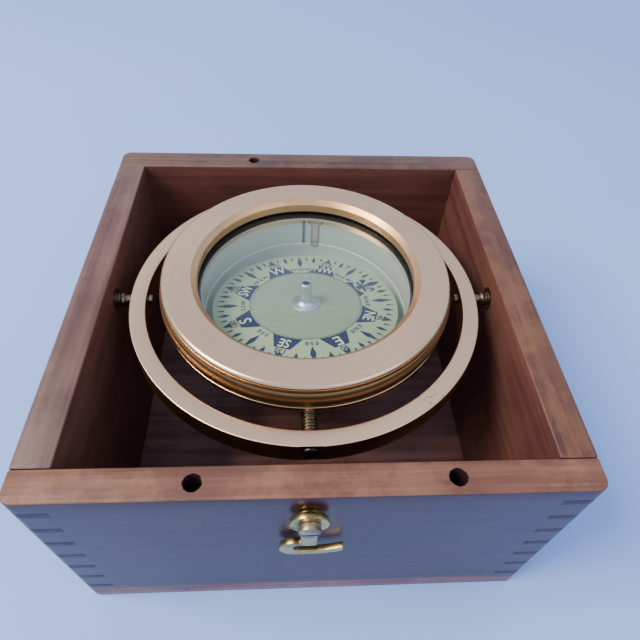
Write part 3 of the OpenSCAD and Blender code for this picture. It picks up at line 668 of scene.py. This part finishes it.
def bezel_ring():
    r = BEZEL_R / MM
    b = BOWL_R / MM
    seat = GLASS_R / MM + 0.3
    corners = [(b + 2.1, 0, 0.25)]
    for k in range(9):
        a = math.pi / 2 * k / 8
        corners.append((r - 3 + 1.8 * math.sin(a), 1.8 - 1.8 * math.cos(a)))
    corners.append((r - 1.15, 3.4))
    for k in range(17):
        a = math.radians(-72 + 122 * k / 16)
        corners.append((r - 1.75 + 1.75 * math.cos(a), 7.7 + 4.2 * math.sin(a)))
    corners += [(r - 1.5, 11, 0.2), (seat, 11), (seat, 5.6), (b, 5.6, 0.3), (b, 2.1, 0.4)]
    corners = down(corners)
    flat_z = TOP_Z - 0.02 * MM

    # Inner wall: the warmer copy that paints light on it; flat top: satin; chamfer: smoother brass; outer
    # side: the darker copy that paints shade on it.
    def rule(radius, z):
        if radius < BOWL_R + 2.2 * MM:
            return 3
        if z > flat_z:
            return 0
        return 1 if z > TOP_Z - 1.7 * MM else 2

    bm = lathe(rounded(corners, 7), 256, rule)
    finish_mesh("bezel_ring_brass", bm, [SATIN, EDGE, BRASS_SIDE_SHADE, BRASS_INNER_LIGHT], "bowl",
                ["bezel_ring"])


def bowl_body():
    b = BOWL_R / MM
    out = b + BOWL_WALL / MM
    g = GLASS_R / MM
    f = FLANGE_R / MM
    skirt_out, skirt_in = 33, 27
    floor_arc, wall_end, floor_h = 14, 24.5, 38.5
    floor_r = b - floor_arc
    outer_arc = out - floor_r
    corners = [(b, 10.3, 0.3), (g, 10.3), (g, 11.5), (f, 11.5, 0.3), (f, 14, 0.3), (out, 14, 0.6)]
    turn = math.acos((skirt_out - floor_r) / outer_arc)
    steps = 12
    for k in range(steps + 1):
        a = turn * k / steps
        corners.append((floor_r + outer_arc * math.cos(a), wall_end + outer_arc * math.sin(a)))
    corners += [(skirt_out, 52, 0.4), (skirt_in, 52, 0.3), (skirt_in, 42.5, 0.8), (0, 42.5), (0, floor_h)]
    for k in range(steps + 1):
        a = math.pi / 2 * (1 - k / steps)
        corners.append((floor_r - 0.7 + floor_arc * math.cos(a),
                        wall_end + 0.9 + (floor_arc - 0.9) * math.sin(a)))
    corners += [(b - 0.6, wall_end + 0.5, 0.3), (b, wall_end, 0.4)]
    inside_r = BOWL_R + 0.2 * MM
    floor_z = TOP_Z - (floor_h + 0.5) * MM

    # Inside is enamel, the flange rim the smoother brass, and the rest of the outside the darker copy that
    # paints shade on it.
    def rule(radius, z):
        from_arc = math.hypot(max(0, radius / MM - floor_r), max(0, (TOP_Z - z) / MM - wall_end))
        if radius < inside_r and z > floor_z and from_arc < floor_arc + 0.8:
            return 1
        return 2 if radius > FLANGE_R - 0.6 * MM else 0

    profile = rounded(down(corners), 4)
    plug = turned_by(215) @ Matrix.Translation((0, 0, TOP_Z - 21.5 * MM - AXIS_Z)) @ ALONG_X
    far = 60 * MM
    steps = [("DIFFERENCE", rod(THREAD_HOLE_R, 30 * MM, far, 48, plug)),
             ("DIFFERENCE", rod(5.4 * MM, (out - 0.4) * MM, (out + 5) * MM, 64, plug))]
    for side in (90, 270):
        hole = rod(TIP_HOLE_R, (out - 3) * MM, far, 48, turned_by(side) @ ALONG_X)
        steps.append(("DIFFERENCE", hole))
    bm = combined(lathe(profile, 256, rule), steps)
    lubber_low = TOP_Z - wall_end * MM
    finish_mesh("bowl_brass", bm, [BRASS_UNDER_SHADE, bowl_paint(lubber_low), EDGE], "bowl",
                ["bowl_body"])


def plain_ring(name, corners, material, body, node, segments=192, matrix=None):
    bm = lathe(rounded(down(corners), 3), segments, matrix=matrix)
    return finish_mesh(name, bm, [material], body, [node])


def bowl_trim():
    """The rings and the pane between the bezel and the bowl, and the cover under the bowl."""
    b, g, m = BOWL_R / MM, GLASS_R / MM, GASKET_R / MM
    plain_ring("glass_pane", [(0, 6.1), (g, 6.1, 0.3), (g, 8.3, 0.3), (0, 8.3)],
               GLASS, "bowl", "glass")
    plain_ring("glass_seal_ring", [(b + 0.2, 5.62, 0.1), (g, 5.62), (g, 6.08), (b + 0.2, 6.08, 0.1)],
               RUBBER, "bowl", "glass_seal")
    gasket = rounded(down([(m + 0.7, 8.32, 0.3), (g, 8.32), (g, 10.28), (m, 10.28, 0.2), (m, 9.4, 0.2),
                           (m + 0.7, 9.1)]), 3)
    # The seal is grey below and black above.
    bm = lathe(gasket, 192, lambda radius, z: 1 if z < TOP_Z - 9.15 * MM else 0)
    finish_mesh("glass_gasket_ring", bm, [RUBBER, GREY_EDGE], "bowl", ["glass_gasket"])
    edge = BEZEL_R / MM - 2
    thin_ring = [(g + 0.1, 11.02), (edge, 11.02, 0.15), (edge, 11.48, 0.15), (g + 0.1, 11.48)]
    plain_ring("flange_gasket_ring", thin_ring, RUBBER, "bowl", "flange_gasket")
    # The clamp ring and the cover take the darker brass that paints shade on them.
    plain_ring("clamp_ring_brass", [(27, 52.4, 0.2), (33, 52.4, 0.2), (33, 54, 0.2), (27, 54, 0.2)],
               BRASS_UNDER_SHADE, "bowl", "clamp_ring")
    cover = [(24, 54, 0.3), (33, 54, 0.3), (33, 55.6, 0.4), (26, 55.6, 0.8), (26, 68, 3), (6, 68, 0.6),
             (6, 66, 0.6), (24, 66, 1)]
    plain_ring("bottom_cover_brass", cover, BRASS_UNDER_SHADE, "bowl", "bottom_cover")
    low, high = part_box("lubber_line")
    bm = bmesh.new()
    columns = 6
    rows = []
    for k in range(columns + 1):
        x = low.x + (high.x - low.x) * k / columns
        outer = math.sqrt(BOWL_R ** 2 - x ** 2)
        inner = outer - 0.3 * MM
        rows.append([bm.verts.new((x, y, z)) for y, z in
                     ((outer, low.z), (inner, low.z), (inner, high.z), (outer, high.z))])
    for a, b in zip(rows, rows[1:]):
        for k in range(4):
            n = (k + 1) % 4
            bm.faces.new((a[k], a[n], b[n], b[k]))
    bm.faces.new(rows[0])
    bm.faces.new(rows[-1][::-1])
    finish_mesh("lubber_strip", bm, [LUBBER_PAINT], "bowl", ["lubber_line"])


# ---------- pivot screws ----------

def threaded(stations, thread_low, thread_high, crest, root, pitch, segments=48, pieces=14):
    """A closed rod along +Z of stations (z, radius), with a helix from thread_low to thread_high."""
    heights = [z for z, _ in stations]
    step = pitch / pieces
    z = thread_low
    while z < thread_high:
        heights.append(z)
        z += step
    heights = sorted(set(round(h, 7) for h in heights))

    def plain(z):
        for (z0, r0), (z1, r1) in zip(stations, stations[1:]):
            if z0 <= z <= z1 and z1 > z0:
                return r0 + (r1 - r0) * (z - z0) / (z1 - z0)
        return stations[-1][1]

    def radius(z, angle):
        r = plain(z)
        if not thread_low < z < thread_high:
            return r
        phase = (z / pitch - angle / (2 * math.pi)) % 1
        tooth = min(1.0, max(0.0, 1.5 * abs(2 * phase - 1) - 0.15))
        runout = min(1.0, (z - thread_low) / pitch, (thread_high - z) / pitch)
        return min(r, crest - (crest - root) * (1 - tooth) * runout)

    bm = bmesh.new()
    rings = []
    for z in heights:
        angles = [2 * math.pi * k / segments for k in range(segments)]
        rings.append([bm.verts.new((radius(z, a) * math.cos(a), radius(z, a) * math.sin(a), z))
                      for a in angles])
    for a, b in zip(rings, rings[1:]):
        for k in range(segments):
            n = (k + 1) % segments
            bm.faces.new((a[k], a[n], b[n], b[k]))
    for ring, centre_z in ((rings[0][::-1], heights[0]), (rings[-1], heights[-1])):
        centre = bm.verts.new((0, 0, centre_z))
        for k in range(segments):
            bm.faces.new((ring[k], ring[(k + 1) % segments], centre))
    return bm


def slot_cut(low, high, width=1 * MM, reach=8 * MM):
    return block((-width / 2, -reach, low), (width / 2, reach, high))


def pivot_screws():
    crest, root, pitch, tip = 3 * MM, 2.3 * MM, 1.27 * MM, 2 * MM
    tip_at = RING_R - RING_WIDTH - 1.5 * MM
    thread_at = SIDE_IN - 3.9 * MM
    head = 4.8 * MM
    for side, name in ((0, "right"), (180, "left")):
        stations = [(tip_at, tip - 0.45 * MM), (tip_at + 0.15 * MM, tip - 0.15 * MM),
                    (tip_at + 0.45 * MM, tip), (thread_at, tip),
                    (thread_at + 0.02 * MM, crest - 0.5 * MM), (thread_at + 0.5 * MM, crest),
                    (HALF_W, crest), (HALF_W + 0.01 * MM, head - 0.15 * MM), (HALF_W + 0.15 * MM, head),
                    (HALF_W + 2.5 * MM, head), (HALF_W + 2.85 * MM, head - 0.2 * MM),
                    (HALF_W + 3 * MM, head - 0.55 * MM)]
        bm = threaded(stations, thread_at, SIDE_IN + 3 * MM, crest, root, pitch)
        bm = combined(bm, [("DIFFERENCE", slot_cut(HALF_W + 1.5 * MM, HALF_W + 4 * MM))])
        bm.transform(turned_by(side) @ ALONG_X @ turned_by(25))
        node = name + "_pivot_screw"
        finish_mesh(node + "_brass", bm, [SCREW_BRASS], "box", [node])
    seat = RING_SEAT
    tip_at = BOWL_R + BOWL_WALL - 2.9 * MM
    thread_at = 55.5 * MM
    for side, name in ((270, "front"), (90, "rear")):
        stations = [(tip_at, tip - 0.45 * MM), (tip_at + 0.45 * MM, tip), (thread_at, tip),
                    (thread_at + 0.02 * MM, crest - 0.5 * MM), (thread_at + 0.5 * MM, crest), (seat, crest)]
        dome_r, dome_h = 3.4 * MM, 1.6 * MM
        for k in range(9):
            a = math.pi / 2 * k / 8
            stations.append((seat + 0.01 * MM + dome_h * math.sin(a), max(0.2 * MM, dome_r * math.cos(a))))
        bm = threaded(stations, thread_at, seat - 3 * MM, crest, root, pitch)
        bm = combined(bm, [("DIFFERENCE", slot_cut(seat + 0.7 * MM, seat + 3 * MM))])
        bm.transform(turned_by(side) @ ALONG_X @ turned_by(60))
        node = name + "_pivot_screw"
        set_faces(bm, lambda centre, _: 1 if abs(centre.y) > seat else 0)
        finish_mesh(node + "_brass", bm, [SCREW_BRASS, DARK_SCREW], "ring", [node])


# ---------- compass card ----------

PRINT_T = 0.05 * MM


def card_spot(azimuth, radius):
    """The place of a card azimuth, in degrees clockwise from north, at a radius."""
    a = math.pi / 2 - (math.radians(azimuth) - HEADING)
    return Vector((radius * math.cos(a), radius * math.sin(a), 0)), a


def inked(outline, azimuth, level=1):
    """A thin solid of an outline of (across, radius) in millimetres, laid on the card at an azimuth."""
    _, a = card_spot(azimuth, 1)
    out, side = Vector((math.cos(a), math.sin(a), 0)), Vector((math.sin(a), -math.cos(a), 0))
    low, high = CARD_Z - PRINT_T, CARD_Z + PRINT_T * level
    bm = bmesh.new()
    bottom = [bm.verts.new(side * x * MM + out * r * MM + Vector((0, 0, low))) for x, r in outline]
    top = [bm.verts.new(v.co + Vector((0, 0, high - low))) for v in bottom]
    bm.faces.new(bottom)
    bm.faces.new(top)
    for k in range(len(top)):
        n = (k + 1) % len(top)
        bm.faces.new((bottom[k], bottom[n], top[n], top[k]))
    bmesh.ops.triangulate(bm, faces=[f for f in bm.faces if len(f.verts) > 4])
    return bm


def letters(text, azimuth, radius, height, width=1.0, weight=0.0, level=1, spacing=1.0):
    """A word laid on the card with its middle at a radius in millimetres and its top outwards."""
    curve = bpy.data.curves.new("word", "FONT")
    curve.body = text
    curve.align_x = "CENTER"
    curve.align_y = "CENTER"
    curve.size = height * 1.4
    curve.offset = weight
    curve.space_character = spacing
    curve.resolution_u = 4
    curve.extrude = PRINT_T
    word = bpy.data.objects.new("word", curve)
    bpy.context.scene.collection.objects.link(word)
    graph = bpy.context.evaluated_depsgraph_get()
    bm = bmesh.new()
    bm.from_mesh(bpy.data.meshes.new_from_object(word.evaluated_get(graph)))
    bpy.data.objects.remove(word)
    bmesh.ops.remove_doubles(bm, verts=bm.verts, dist=1e-7)
    spot, a = card_spot(azimuth, radius * MM)
    place = Matrix.Translation(spot + Vector((0, 0, CARD_Z + PRINT_T * (level - 1))))
    place = place @ Matrix.Rotation(a - math.pi / 2, 4, "Z") @ Matrix.Diagonal((width, 1, 1, 1))
    bm.transform(place)
    return bm


def wedge_foot(radius=24.2, half_angle=15.0):
    """The curved foot of a wedge, from its right corner to its left."""
    steps = 8
    curve = []
    for k in range(steps + 1):
        t = math.radians(half_angle - 2 * half_angle * k / steps)
        curve.append((radius * math.sin(t), radius * math.cos(t)))
    return curve


def lozenge(low, wide_at, high, half):
    return [(0, low), (half, wide_at), (0, high), (-half, wide_at)]


def mirrored(outline):
    """An outline of the right half, from bottom to top, with its left half added."""
    return outline + [(-x, r) for x, r in reversed(outline) if x > 0]


def fleur():
    """The north mark: a curved band with a leaf and two curled petals above it."""
    band = wedge_foot() + [(-4.9, 26.9), (-3.4, 26.1), (-1.7, 25.5), (0, 25.3), (1.7, 25.5), (3.4, 26.1),
                           (4.9, 26.9)]
    leaf = mirrored([(0.5, 27.8), (0.75, 30.3), (1.2, 32.4), (1.6, 34.0), (1.0, 35.9), (0, 37.9)])
    stand = mirrored([(1.7, 25.9), (1.3, 27.2), (0.6, 28.6)])
    marks = [inked(band, 0), inked(leaf, 0, 1.2), inked(stand, 0, 1.4)]
    marks.append(inked([(-2.1, 28.3), (2.1, 28.3), (2.1, 29.0), (-2.1, 29.0)], 0, 1.6))
    curl = [(0.9, 28.9), (1.9, 30.8), (2.9, 32.2), (3.9, 32.7), (4.8, 32.0), (5.1, 30.9), (4.7, 29.9),
            (4.0, 29.7), (4.2, 30.5), (4.1, 31.3), (3.6, 31.6), (3.0, 31.0), (2.3, 29.8), (1.6, 28.8)]
    flick = [(1.4, 28.4), (2.7, 28.6), (3.7, 29.0), (4.2, 28.3), (3.5, 27.6), (2.4, 27.5), (1.2, 27.8)]
    for side in (-1, 1):
        for outline in (curl, flick):
            marks.append(inked([(side * x, r) for x, r in outline], 0, 1.8))
    return marks


def card_print():
    navy, pale = fleur(), []
    for k, name in enumerate(("NE", "E", "SE", "S", "SW", "W", "NW"), 1):
        azimuth = 45 * k
        navy.append(inked(wedge_foot() + [(-3.3, 30.9), (3.3, 30.9)], azimuth))
        navy.append(inked([(-1.75, 33.9), (1.75, 33.9), (0, 37.7)], azimuth))
        if len(name) == 2:
            pale.append(letters(name, azimuth, 27.6, 4.8 * MM, 0.74, 0.06 * MM, 2))
        else:
            pale.append(letters(name, azimuth, 27.6, 5.2 * MM, 0.95, 0.07 * MM, 2))
        navy.append(letters(str(azimuth), azimuth, 32.4, 2.5 * MM, 1.0, 0.07 * MM))
    for k, name in enumerate(("NNE", "ENE", "ESE", "SSE", "SSW", "WSW", "WNW", "NNW")):
        azimuth = 45 * k + 22.5
        navy.append(inked(lozenge(28.2, 32.6, 38.2, 1.25), azimuth))
        navy.append(letters(name, azimuth, 26.5, 2.1 * MM, 1.05, 0.07 * MM, 1, 1.35))
    for k in range(16):
        navy.append(inked(lozenge(32.4, 34.9, 38.0, 0.95), 22.5 * k + 11.25))
    tick = [(0.2, 34.7), (0.52, 35.5), (0, 38.0), (-0.52, 35.5), (-0.2, 34.7)]
    for k in range(32):
        navy.append(inked(tick, 11.25 * k + 5.625))
    for low, high in ((23.5, 23.75), (24.1, 24.3)):
        ring = [(low * MM, CARD_Z - PRINT_T), (high * MM, CARD_Z - PRINT_T),
                (high * MM, CARD_Z + PRINT_T * 0.8), (low * MM, CARD_Z + PRINT_T * 0.8)]
        navy.append(lathe(ring, 192))
    for name, marks, ink in (("card_marks", navy, NAVY), ("card_letters", pale, PALE_INK)):
        bm = joined(marks)
        bm.transform(TILTED)
        finish_mesh(name, bm, [ink], "card")


def card():
    r = CARD_R / MM
    top, bottom = CARD_DROP, CARD_DROP + 0.8
    spigot = 5.45
    disc = rounded(down([(spigot, top), (23.6, top), (r, top, 0.3), (r, bottom, 0.3),
                         (spigot, bottom)]), 3)
    bm = lathe(disc, 192, lambda radius, z: 1 if radius < 23 * MM else 0, TILTED)
    finish_mesh("card_disc", bm, [CARD_GROUND, CARD_CENTRE], "card", ["compass_card"])
    hub = [(1.5, 9.0, 0.1), (2.0, 9.0, 0.25), (2.5, 9.7, 0.3)]
    for k in range(13):
        a = math.pi * (1 - k / 24)
        hub.append((5.8 + 3.3 * math.cos(a), 15.6 + 3.3 * math.sin(a)))
    hub += [(6.2, 19.15, 0.1), (6.2, 19.5, 0.05), (5.4, 19.5), (5.4, 30.9, 0.1), (5.0, 30.9),
            (1.4, 11.2), (1.5, 11.2)]
    plain_ring("card_hub_turned", hub, HUB_METAL, "card", "card_hub", 128, TILTED)
    jewel = [(0, 9.05), (1.48, 9.05, 0.15), (1.48, 11.2), (1.2, 11.2), (0, 10.42)]
    plain_ring("jewel_stone", jewel, JEWEL, "card", "jewel_cap", 64, TILTED)


# ---------- carried-over CAD pieces ----------

def soften(node, material, width):
    """Gives a CAD node its material and soft edges, and leaves its own mesh alone."""
    piece = frame["nodes"][node]
    piece.data.materials.clear()
    piece.data.materials.append(material)
    weld = piece.modifiers.new("weld", "WELD")
    weld.merge_threshold = 1e-6
    bevel = piece.modifiers.new("soft_edges", "BEVEL")
    bevel.width = width
    bevel.segments = 2
    bevel.limit_method = "ANGLE"
    bevel.angle_limit = math.radians(40)
    bevel.harden_normals = False


def carried_over():
    for node in ("left_pivot_bush", "right_pivot_bush", "base_screws", "bezel_screws", "cover_screws",
                 "hub_nut", "filler_plug", "pivot_post"):
        soften(node, SCREW_BRASS, 0.08 * MM)
    for node in ("hook_washer", "catch_hook"):
        soften(node, HOOK_BRASS, 0.25 * MM)
    for node in ("hook_screw", "pivot_point", "magnets"):
        soften(node, STEEL, 0.15 * MM)
    for node in ("diaphragm", "float_dome", "float_plate", "magnet_carrier"):
        soften(node, SHEET, 0.05 * MM)
    soften("ballast_weight", IRON, 0.3 * MM)
    soften("filler_washer", RUBBER, 0.1 * MM)


# ---------- floor, light and camera ----------

def stage():
    cloth = Shader("pale_floor")
    cloth.set("Base Color", cloth.mix(cloth.noise(4.0, 2.0), rgb(170, 200, 255), rgb(162, 194, 252)))
    cloth.set("Roughness", 0.9)
    cloth.bump(cloth.noise(3.0, 2.0), 4 * MM, 0.3)
    bm = bmesh.new()
    bmesh.ops.create_grid(bm, x_segments=8, y_segments=8, size=2.5)
    mesh = bpy.data.meshes.new("floor")
    bm.to_mesh(mesh)
    bm.free()
    mesh.materials.append(cloth.material)
    floor = bpy.data.objects.new("floor", mesh)
    floor.location.z = -0.0002
    bpy.context.scene.collection.objects.link(floor)


def area_light(name, place, target, size, power, colour):
    data = bpy.data.lights.new(name, "AREA")
    data.shape = "RECTANGLE"
    data.size, data.size_y = size
    data.energy = power
    data.color = colour
    light = bpy.data.objects.new(name, data)
    light.location = place
    light.rotation_euler = (Vector(target) - Vector(place)).to_track_quat("-Z", "Y").to_euler()
    bpy.context.scene.collection.objects.link(light)


def lights():
    world = bpy.data.worlds.new("sky")
    world.use_nodes = True
    world.node_tree.nodes["Background"].inputs["Color"].default_value = (0.62, 0.735, 1.05, 1)
    world.node_tree.nodes["Background"].inputs["Strength"].default_value = 1.0
    bpy.context.scene.world = world
    area_light("key", (-0.95, -0.2, 1.2), (0, 0, 0.05), (0.7, 0.7), 26.0, (1.0, 0.93, 0.84))
    area_light("fill", (0.9, -0.9, 1.1), (0, 0, 0.05), (1.2, 1.2), 4.0, (0.85, 0.9, 1.0))


CAMERA_PLACE = Vector((-6.9, -155.7, 250.8)) * MM
CAMERA_YAW = math.radians(4.99)
CAMERA_PITCH = math.radians(48.93)
CAMERA_ROLL = math.radians(3.5)
CAMERA_LENS = 29.66


def camera():
    """A camera that looks down at the box from the front, turned by the yaw and tilted by the roll."""
    yaw, pitch, roll = CAMERA_YAW, CAMERA_PITCH, CAMERA_ROLL
    ahead = Vector((math.sin(yaw) * math.cos(pitch), math.cos(yaw) * math.cos(pitch), -math.sin(pitch)))
    right = Vector((math.cos(yaw), -math.sin(yaw), 0))
    above = right.cross(ahead)
    right, above = (right * math.cos(roll) + above * math.sin(roll),
                    above * math.cos(roll) - right * math.sin(roll))
    data = bpy.data.cameras.new("camera")
    data.lens = CAMERA_LENS
    data.clip_start = 0.01
    made = bpy.data.objects.new("camera", data)
    made.matrix_world = Matrix((
        (right.x, above.x, -ahead.x, CAMERA_PLACE.x),
        (right.y, above.y, -ahead.y, CAMERA_PLACE.y),
        (right.z, above.z, -ahead.z, CAMERA_PLACE.z),
        (0, 0, 0, 1)))
    bpy.context.scene.collection.objects.link(made)
    bpy.context.scene.camera = made


rng = random.Random(7)
camera()
lights()
stage()
cross_wall(-1, "front_wall", RIM_FRONT, [(-36.5 * MM, 2.7 * MM), (45 * MM, 2.7 * MM)], rng)
cross_wall(1, "back_wall", RIM_BACK, [(-25 * MM, 2.4 * MM)], rng)
side_wall(-1, "left_wall", RIM_LEFT)
side_wall(1, "right_wall", RIM_RIGHT)
base_board()
gimbal_ring()
bezel_ring()
bowl_body()
bowl_trim()
pivot_screws()
card_print()
card()
carried_over()
